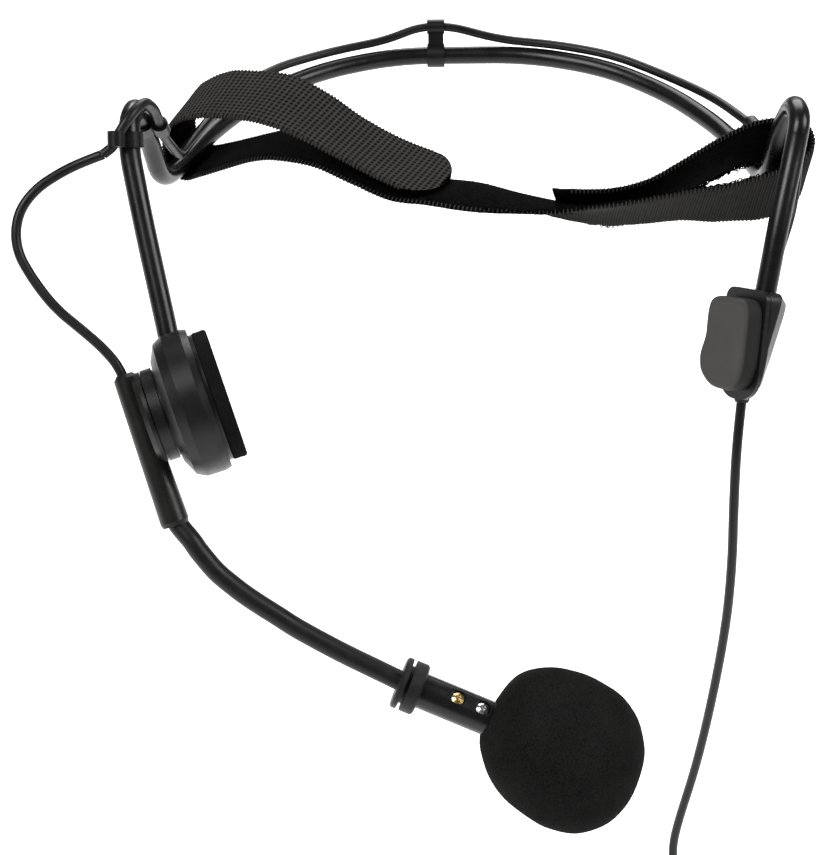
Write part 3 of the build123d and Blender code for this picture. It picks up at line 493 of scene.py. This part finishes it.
# Front rim of the ribbon, the direction across it, and how far its middle sags, at each station.
# Some of these numbers are the output of separate programs, a least-squares fit of the rims and
# cast rays, and were not chosen by hand.
STRAP_STATIONS = [
    ((-8.0, 5.0, -24.5), (8.2, 17.8, 1.6), 0.3), ((-13.0, 7.2, -23.4), (8.2, 17.8, 1.6), 0.4),
    ((-22.7, 11.3, -20.6), (7.9, 18.3, 1.0), 0.5),
    ((-32.7, 15.2, -16.7), (7.6, 18.4, 1.2), 0.4), ((-42.9, 19.3, -13.0), (8.5, 17.8, 2.9), 0.2),
    ((-53.4, 24.5, -11.7), (8.9, 17.2, 5.0), 0.0), ((-64.2, 29.3, -12.6), (6.9, 18.1, 4.9), 0.0),
    ((-69.0, 31.4, -13.7), (6.7, 18.3, 4.6), 0.0), ((-73.3, 33.3, -15.4), (6.1, 18.7, 3.5), 0.0),
    ((-77.0, 35.0, -18.6), (6.1, 18.8, 3.1), 0.0), ((-78.8, 35.3, -24.5), (5.8, 18.8, 1.6), 0.0),
    ((-78.4, 36.0, -30.5), (5.6, 18.9, 1.0), 0.0), ((-74.7, 36.3, -33.4), (5.6, 18.9, 0.8), 0.0),
    ((-69.8, 33.0, -30.9), (7.6, 18.2, 1.0), 0.0), ((-59.8, 28.0, -25.6), (8.4, 17.9, 0.6), 0.2),
    ((-54.3, 25.2, -22.9), (8.4, 17.9, 0.2), 0.3), ((-48.0, 22.0, -21.1), (8.2, 18.1, -0.4), 0.4),
    ((-37.8, 17.0, -20.7), (7.8, 18.4, -1.2), 0.5), ((-28.0, 12.5, -23.3), (7.0, 18.6, -2.2), 0.5),
    ((-18.3, 9.2, -26.3), (6.0, 18.8, -3.0), 1.4), ((-8.8, 6.6, -26.5), (4.8, 19.0, -3.4), 2.8),
    ((2.0, 4.7, -27.4), (3.4, 19.3, -3.2), 3.2), ((13.2, 3.2, -27.2), (1.5, 18.7, -6.6), 3.2),
    ((22.7, 3.2, -27.2), (1.0, 17.3, -9.7), 3.0), ((33.7, 3.8, -25.7), (0.5, 15.4, -12.6), 1.1),
    ((43.6, 4.8, -24.6), (0.0, 14.3, -13.6), 0.5), ((55.9, 6.3, -22.6), (0.0, 13.1, -14.5), 0.3),
    ((63.8, 7.2, -22.0), (-0.3, 12.0, -15.4), 0.2), ((69.4, 7.8, -20.8), (-0.5, 11.0, -16.2), 0.2),
    ((75.2, 8.6, -19.3), (-0.4, 9.6, -17.2), 0.2), ((79.5, 9.3, -17.8), (0.0, 9.0, -17.5), 0.0),
    ((83.3, 9.8, -15.5), (0.0, 8.4, -17.6), 0.0), ((85.6, 11.0, -12.5), (0.0, 9.0, -17.2), 0.0),
    ((84.9, 13.0, -9.4), (0.0, 10.0, -16.6), 0.0), ((82.0, 14.6, -7.6), (0.0, 11.0, -16.0), 0.0),
    ((77.2, 15.0, -7.5), (-0.8, 10.8, -16.4), 0.0), ((71.4, 14.8, -8.4), (-0.6, 11.0, -16.5), 0.2),
    ((65.3, 13.9, -11.0), (-0.5, 11.0, -16.5), 0.3), ((59.1, 12.6, -14.3), (-0.5, 11.0, -16.5), 0.3),
    ((53.0, 11.3, -17.8), (-0.5, 11.0, -16.5), 0.3), ((46.1, 9.8, -21.2), (-0.5, 11.2, -16.4), 0.4),
    ((36.9, 8.0, -22.9), (-0.2, 12.4, -15.6), 0.6), ((25.8, 6.2, -22.2), (0.4, 14.2, -14.0), 0.6),
    ((21.9, 5.6, -21.7), (0.6, 14.8, -13.4), 0.5),
]


strap_rows = [(*rim, *(unit(across) * STRAP_W), sag) for rim, across, sag in STRAP_STATIONS]
strap_line = through(strap_rows)
strap_middle = strap_line[:, :3] + strap_line[:, 3:6] / 2
strap_steps = np.linalg.norm(np.diff(strap_middle, axis=0), axis=1)
strap_reach = np.concatenate([[0], np.cumsum(strap_steps)])
STRAP_L = strap_reach[-1]
strap_run = np.gradient(strap_middle, axis=0)
strap_normal = np.cross(strap_line[:, 3:6], strap_run)
strap_normal /= np.linalg.norm(strap_normal, axis=1)[:, None]


def strap_at(t, v, lift):
    """Points of the ribbon at length t and share v across it, raised by lift along its normal."""
    row = [np.interp(t, strap_reach, strap_line[:, k]) for k in range(7)]
    out = [np.interp(t, strap_reach, strap_normal[:, k]) for k in range(3)]
    size = np.sqrt(sum(o * o for o in out))
    rise = lift - row[6] * 4 * v * (1 - v)
    return np.stack([row[k] + row[k + 3] * v + out[k] / size * rise for k in range(3)], axis=-1)


TIP_ROUND = 9.0
ACROSS = 30
LOOPED_SHARE = 0.47      # how far along the outer face is knitted loops; past it, smooth backing
along_count = int(STRAP_L / 0.3)
v_line = 0.5 - 0.5 * np.cos(np.linspace(0, math.pi, ACROSS))
v_line = 0.35 * v_line + 0.65 * np.linspace(0, 1, ACROSS)
share = np.linspace(0, 1, along_count)[:, None]
tip = TIP_ROUND * (1 - np.sqrt(np.clip(1 - (2 * v_line - 1) ** 2, 0, 1)))
cut = STRAP_L - 3.0 * v_line - 0.5 * np.abs(np.sin(9 * v_line))
t_grid = tip[None, :] + (cut - tip)[None, :] * share
v_grid = np.broadcast_to(v_line, t_grid.shape)
edge = np.clip(1 - np.abs(2 * v_grid - 1) ** 14, 0, 1) ** 0.5
ribs = 0.05 * np.cos(2 * math.pi * t_grid / RIB_PITCH) * edge
at_rim = np.sign(v_grid - 0.5) * np.abs(2 * v_grid - 1) ** 20
scallop = 0.006 * np.abs(np.sin(math.pi * t_grid)) * at_rim
wander = np.sin(t_grid * 0.83 + 2.1 * v_grid) * np.sin(t_grid * 0.37 - 5 * v_grid)
outer = strap_at(t_grid, v_grid + scallop, STRAP_T / 2 * edge + ribs + 0.05 * wander)
tangle = np.sin(t_grid * 7.1 + 31 * v_grid) * np.sin(t_grid * 4.3 - 57 * v_grid)
inner = strap_at(t_grid, v_grid + scallop, -STRAP_T / 2 * edge - 0.1 * tangle * edge)
ring = np.concatenate([outer, inner[:, ::-1]], axis=1) * MM
ring_size = 2 * ACROSS
strap_faces = rings_to_faces(along_count, ring_size)
crossing = int(along_count * LOOPED_SHARE)


def strap_face(face):
    """Which of the strap's materials a face takes: knitted loops, pile or smooth backing."""
    if face[0] % ring_size >= ACROSS - 1:
        return 1
    return 0 if face[0] // ring_size < crossing else 2


strap_indices = [strap_face(face) for face in strap_faces]
strap_uv = np.concatenate([np.stack([t_grid, v_grid * STRAP_W], -1),
                           np.stack([t_grid, v_grid * STRAP_W], -1)[:, ::-1]], axis=1) * MM
strap = build("strap", ring.reshape(-1, 3), strap_faces, "strap_fabric", "root", strap_indices,
              strap_uv.reshape(-1, 2), [MATERIALS["strap_fabric"], PILE, BACKING])
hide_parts("head_strap")


def thread_loops(name, spots, material):
    """Small standing loops of yarn: (foot, other foot, height direction, height, thread radius)."""
    points, faces = [], []
    sides, steps = 5, 8
    for foot, other, up, height, thick in spots:
        middle, half = (foot + other) / 2, (foot - other) / 2
        first = len(points)
        flat = unit(np.cross(half, up))
        for i in range(steps + 1):
            angle = math.pi * i / steps
            centre = middle + half * math.cos(angle) + up * height * math.sin(angle)
            outward = unit(half * math.cos(angle) / np.linalg.norm(half) + up * math.sin(angle))
            for j in range(sides):
                turn_by = 2 * math.pi * j / sides
                spoke = math.cos(turn_by) * outward + math.sin(turn_by) * flat
                points.append((centre + thick * spoke) * MM)
        faces += [tuple(first + k for k in face) for face in rings_to_faces(steps + 1, sides, False)]
    return build(name, points, faces, "strap_fabric", "root", materials=[material])


def rim_loops(start, end, rim, pitch, height, lift, generator, lean=0.5):
    """Loops of pile along one rim of the strap between two lengths."""
    spots = []
    outward = -1.0 if rim == 0 else 1.0
    for t in np.arange(start, end, pitch):
        t = t + generator.uniform(-0.3, 0.3) * pitch
        v = rim - outward * generator.uniform(0.0, 0.05)
        foot = strap_at(np.float64(t), np.float64(v), lift)
        other = strap_at(np.float64(t + generator.uniform(0.5, 1.0)), np.float64(v), lift)
        across = strap_at(np.float64(t), np.float64(1.0), 0) - strap_at(np.float64(t), np.float64(0.0), 0)
        facing = strap_at(np.float64(t), np.float64(v), lift + np.sign(lift)) - foot
        up = unit(unit(across) * outward + facing * lean * generator.uniform(-0.3, 1.2))
        spots.append((foot, other, up, height * generator.uniform(0.5, 1.25), 0.16))
    return spots


def length_at(x, layer):
    """The strap's length coordinate where a layer passes a given x; layers are counted from the tip."""
    passes = np.where(np.diff(np.sign(strap_middle[:, 0] - x)) != 0)[0]
    return strap_reach[passes[layer]]


dice = np.random.default_rng(7)
yarn_spots = rim_loops(length_at(-20, 1), length_at(30, 0), 1, 0.33, 0.95, -0.5, dice)
yarn_spots += rim_loops(length_at(30, 0), length_at(78, 0), 1, 0.8, 0.3, -0.6, dice)
yarn_spots += rim_loops(length_at(78, 1), STRAP_L - 2, 1, 0.3, 1.1, -0.5, dice)
yarn_spots += rim_loops(length_at(-60, 0) - 30, length_at(-60, 0), 1, 0.7, 0.3, -0.5, dice)
yarn_spots += rim_loops(length_at(5, 0), length_at(78, 0), 0, 0.4, 0.85, -0.3, dice, 0.6)
strap_yarn = thread_loops("strap_yarn", yarn_spots, PILE)


def rim_stitches(rim, pitch):
    """Overlocked stitches over one rim of the strap, from the outer face round to the inner one."""
    spots = []
    outward = -1.0 if rim == 0 else 1.0
    for t in np.arange(TIP_ROUND, STRAP_L - 4.0, pitch):
        feet = [strap_at(np.float64(t), np.float64(rim - outward * 0.03), side * 0.5) for side in (1, -1)]
        across = strap_at(np.float64(t), np.float64(1.0), 0) - strap_at(np.float64(t), np.float64(0.0), 0)
        spots.append((*feet, unit(across) * outward, 0.8, 0.17))
    return spots


strap_stitches = thread_loops("strap_stitches", rim_stitches(0, 1.0) + rim_stitches(1, 1.0),
                              MATERIALS["strap_fabric"])

# ---------------------------------------------------------------- windscreen
RING_CENTRE = np.array((-12.4, -79.6, -107.9))
BARREL_DIR = unit((0.924, -0.191, -0.332))
VIEW_UP = np.array((0.0, 0.559, 0.829))
screen_up = unit(VIEW_UP - BARREL_DIR * VIEW_UP.dot(BARREL_DIR))
screen_side = np.cross(BARREL_DIR, screen_up)
SCREEN_AHEAD = 38.5      # from the moisture ring to the foam's centre
SCREEN_BACK = 18.4       # from the foam's centre back to its mouth
SCREEN_CENTRE = RING_CENTRE + BARREL_DIR * SCREEN_AHEAD
# Distance of the foam's skin from its centre, every 20 degrees from its front end back to its neck.
SCREEN_ABOVE = (18.9, 19.1, 19.0, 18.7, 18.1, 18.2, 19.1, 19.9, 19.1, 18.6)
SCREEN_BELOW = (18.9, 19.4, 19.8, 19.5, 18.5, 17.7, 17.8, 18.4, 19.3, 19.6)
STEP = 20.0
NECK_ABOVE = 164.0       # the neck is cut a little aslant
NECK_BELOW = 167.0
BORE_R = 4.26
BORE_DEPTH = 8.0
AROUND = 300
DOWN_THE_SIDE = 190
around = np.linspace(0, 2 * math.pi, AROUND, endpoint=False)
below = 0.5 - 0.5 * np.cos(around)
screen_spin = np.outer(np.cos(around), screen_up) + np.outer(np.sin(around), screen_side)


def skin(distances, degrees):
    """The skin's distance at these angles, smoothly between the chosen ones."""
    curve = through([[d] for d in distances])[:, 0]
    return np.interp(degrees, np.linspace(0, STEP * (len(distances) - 1), len(curve)), curve)


def screen_ring(share):
    """One ring of the foam, at a share of the way from its front end to its neck."""
    degrees = share * (NECK_ABOVE + (NECK_BELOW - NECK_ABOVE) * below)
    distance = skin(SCREEN_ABOVE, degrees) * (1 - below) + skin(SCREEN_BELOW, degrees) * below
    height, radius = distance * np.cos(np.radians(degrees)), distance * np.sin(np.radians(degrees))
    return SCREEN_CENTRE + np.outer(height, BARREL_DIR) + screen_spin * radius[:, None]


screen_rings = [screen_ring(share) for share in np.linspace(0.002, 1.0, DOWN_THE_SIDE)]
for inset, radius in ((0.6, BORE_R + 0.15), (2.0, BORE_R), (BORE_DEPTH, BORE_R)):
    screen_rings.append(SCREEN_CENTRE + BARREL_DIR * (inset - SCREEN_BACK) + screen_spin * radius)
screen_points = np.concatenate(screen_rings)


def roughened(points, centre, lumps, fine):
    """Points pushed in and out by soft lumps and fine open-cell texture."""
    moved = []
    for point in points:
        away = Vector(point - centre).normalized()
        place = Vector(point)
        push = lumps * noise.noise(place * 0.16) + fine * noise.noise(place * 2.6)
        push += fine * 0.6 * noise.noise(place * 5.1)
        moved.append(Vector(point) + away * push)
    return np.array(moved)


screen_points = roughened(screen_points, SCREEN_CENTRE, 0.2, 0.03) * MM
screen_faces = rings_to_faces(len(screen_rings), AROUND)
windscreen = build("foam_windscreen", screen_points, screen_faces, "foam", "windscreen")
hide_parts("windscreen")

# ---------------------------------------------------------------- left foam disc
PAD_SIDES = 160
PAD_FACE = np.array((-54.9, -43.8, -49.2))
PAD_OUT = unit((-0.939, -0.281, -0.200))
PAD_SIDE = unit(np.cross(PAD_OUT, (0, 0, 1)))
PAD_UP = np.cross(PAD_SIDE, PAD_OUT)
pad_profile = [(0.02, 0.35)]
pad_profile += [(r, 0.35 - 0.3 * (r / 14.6) ** 2) for r in np.linspace(0.8, 14.4, 22)]
pad_profile += [(14.9, 0.08), (15.25, 0.28), (15.42, 0.62), (15.46, 1.1), (15.4, 1.9), (15.42, 2.7),
                (15.4, 3.2), (15.2, 3.48), (14.2, 3.5), (8.0, 3.5), (0.02, 3.5)]
pad_angles = np.linspace(0, 2 * math.pi, PAD_SIDES, endpoint=False)
pad_spin = np.outer(np.cos(pad_angles), PAD_SIDE) + np.outer(np.sin(pad_angles), PAD_UP)
pad_points = np.concatenate([PAD_FACE + PAD_OUT * h + pad_spin * r for r, h in pad_profile])
pad_middle = PAD_FACE + PAD_OUT * 1.8
pad_points = roughened(pad_points, pad_middle, 0.06, 0.03) * MM
foam_disc = build("temple_pad", pad_points, rings_to_faces(len(pad_profile), PAD_SIDES), "pad_foam", "root")
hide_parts("left_pad_foam")

# ---------------------------------------------------------------- right rest pad
REST_UP = np.array((0.085, 0.425, 0.901))
REST_UP = unit(REST_UP - REST_OUT * REST_UP.dot(REST_OUT))
REST_ACROSS = np.cross(REST_UP, REST_OUT)
REST_W = 15.8
REST_H = 21.6
REST_SIDES = 180
rest_profile = [(0.02, 0.25)]
rest_profile += [(s, 0.25 - 0.2 * s * s) for s in np.linspace(0.08, 0.86, 14)]
rest_profile += [(0.9, 0.06), (0.94, 0.12), (0.965, 0.28), (0.982, 0.55), (0.994, 0.95), (1.0, 1.5),
                 (1.0, 3.4), (0.995, 4.4), (0.98, 4.85), (0.9, 4.98), (0.4, 5.0), (0.02, 5.0)]
rest_angles = np.linspace(0, 2 * math.pi, REST_SIDES, endpoint=False)


def rest_outline(scale):
    """The pad's outline: squarish above, rounder below, and fuller low on its inner edge."""
    x, y = np.cos(rest_angles), np.sin(rest_angles)
    power = np.where(y > 0, 5.6, 3.2)
    size = (np.abs(x) ** power + np.abs(y) ** power) ** (-1 / power)
    across, up = x * size * REST_W / 2, y * size * REST_H / 2
    fuller = smooth((2.0 - up) / 7.0) * smooth((up + REST_H / 2) / 4.0)
    across = across + np.where(across > 0, 1.6 * fuller - 0.9, 0.0) * np.abs(x) ** 0.5
    return across * scale, up * scale


rest_rings = []
for scale, height in rest_profile:
    across, up = rest_outline(scale)
    rest_rings.append(REST_FACE + REST_OUT * height + np.outer(across, REST_ACROSS) + np.outer(up, REST_UP))
rest_points = roughened(np.concatenate(rest_rings), REST_FACE + REST_OUT * 2.5, 0.1, 0.0) * MM
rest_faces = rings_to_faces(len(rest_profile), REST_SIDES)
rest_pad = build("rest_pad", rest_points, rest_faces, "rest_rubber", "root")
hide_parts("right_rest_pad")

# ---------------------------------------------------------------- right housing
HOUSING_W = 14.2
HOUSING_H = 25.2
HOUSING_BASE = 6.2
HOUSING_SIDES = 240
FAR_BEVEL = 2.2          # bevel of the outer face on its far side
FACE_SETBACK = 2.0       # how far the outer face stops short of the top and bottom
HOUSING_MIDDLE = REST_FACE - 0.8 * REST_ACROSS
housing_angles = np.linspace(0, 2 * math.pi, HOUSING_SIDES, endpoint=False)
# Along its height from bottom to top: where the near side's wall ends, where the outer face lies,
# and how wide the slanted facet between them is.
HEIGHTS = (-12.6, -8.0, 0.0, 8.0, 12.6)
WALL_ENDS = (6.9, 6.9, 7.3, 9.2, 10.2)
OUTER_FACE = (10.5, 10.6, 11.4, 12.6, 13.4)
FACET = (4.0, 3.9, 3.0, 2.4, 2.3)


def housing_ring(step, spread=1.0):
    """One ring of the housing: step 0 is its base, 1 the wall's end, 2 the rim of the outer face."""
    x, y = np.cos(housing_angles), np.sin(housing_angles)
    power = np.where(y > 0, 9.0, 2.9)
    size = (np.abs(x) ** power + np.abs(y) ** power) ** (-1 / power)
    x, y = x * size, y * size
    up = y * HOUSING_H / 2
    near = smooth((0.3 - x) / 0.8)
    face = np.interp(up, HEIGHTS, OUTER_FACE)
    wall = face - FAR_BEVEL + near * (np.interp(up, HEIGHTS, WALL_ENDS) - face + FAR_BEVEL)
    inset = FAR_BEVEL + near * (np.interp(up, HEIGHTS, FACET) - FAR_BEVEL)
    if step < 2:
        height = HOUSING_BASE + (wall - HOUSING_BASE) * step
        across = x * HOUSING_W / 2
    else:
        height = face + 0.15 * (1 - spread)
        across = x * (HOUSING_W / 2 - inset) * spread
        up = up * (1 - FACE_SETBACK / (HOUSING_H / 2)) * spread
    return (HOUSING_MIDDLE + np.outer(across, REST_ACROSS) + np.outer(up, REST_UP)
            + np.outer(height * np.ones_like(x), REST_OUT))


housing_rings = [housing_ring(step) for step in (0, 0.3, 0.6, 0.9, 1.0)]
wall_end, face_rim = housing_ring(1.0), housing_ring(2)
housing_rings += [wall_end * (1 - share) + face_rim * share for share in (0.06, 0.3, 0.6, 0.94)]
housing_rings += [housing_ring(2, spread) for spread in (1.0, 0.97, 0.7, 0.35, 0.02)]
housing = build("housing_shell", np.concatenate(housing_rings) * MM,
                rings_to_faces(len(housing_rings), HOUSING_SIDES), "moulded_plastic", "root")
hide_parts("right_housing")

# ---------------------------------------------------------------- floor and light
FLOOR_Z = -0.32
floor_nodes = Nodes("floor")
floor_tone = floor_nodes.ramp(floor_nodes.noise(3.0), (0.3, grey(0.93)), (0.7, grey(0.95)))
floor_material = floor_nodes.finish(floor_tone, 0.9, Emission_Color=(1, 1, 1, 1), Emission_Strength=0.45)
FLOOR_HALF = 4.0
floor_corners = [(-FLOOR_HALF, -FLOOR_HALF, FLOOR_Z), (FLOOR_HALF, -FLOOR_HALF, FLOOR_Z),
                 (FLOOR_HALF, FLOOR_HALF, FLOOR_Z), (-FLOOR_HALF, FLOOR_HALF, FLOOR_Z)]
floor_mesh = bpy.data.meshes.new("floor")
floor_mesh.from_pydata(floor_corners, [], [(0, 1, 2, 3)])
floor_mesh.materials.append(floor_material)
floor = bpy.data.objects.new("floor", floor_mesh)
scene.collection.objects.link(floor)

world = bpy.data.worlds.new("studio")
world.use_nodes = True
world.node_tree.nodes["Background"].inputs["Color"].default_value = (1, 1, 1, 1)
world.node_tree.nodes["Background"].inputs["Strength"].default_value = 0.14
scene.world = world

LIGHTS = {
    "key": ((-0.9, -0.7, 1.3), (0.0, 0.0, -0.05), 0.9, 30.0),
    "fill": ((1.2, -0.3, 0.9), (0.0, 0.0, -0.05), 0.8, 18.0),
    "back": ((0.1, 1.3, 1.0), (0.0, 0.0, -0.05), 1.2, 24.0),
}
for name, (place, target, size, power) in LIGHTS.items():
    light_data = bpy.data.lights.new(name, "AREA")
    light_data.shape = "SQUARE"
    light_data.size = size
    light_data.energy = power
    light = bpy.data.objects.new(name, light_data)
    light.location = place
    light.rotation_euler = (Vector(target) - Vector(place)).to_track_quat("-Z", "Y").to_euler()
    scene.collection.objects.link(light)

scene.view_settings.view_transform = "Standard"
scene.view_settings.look = "None"
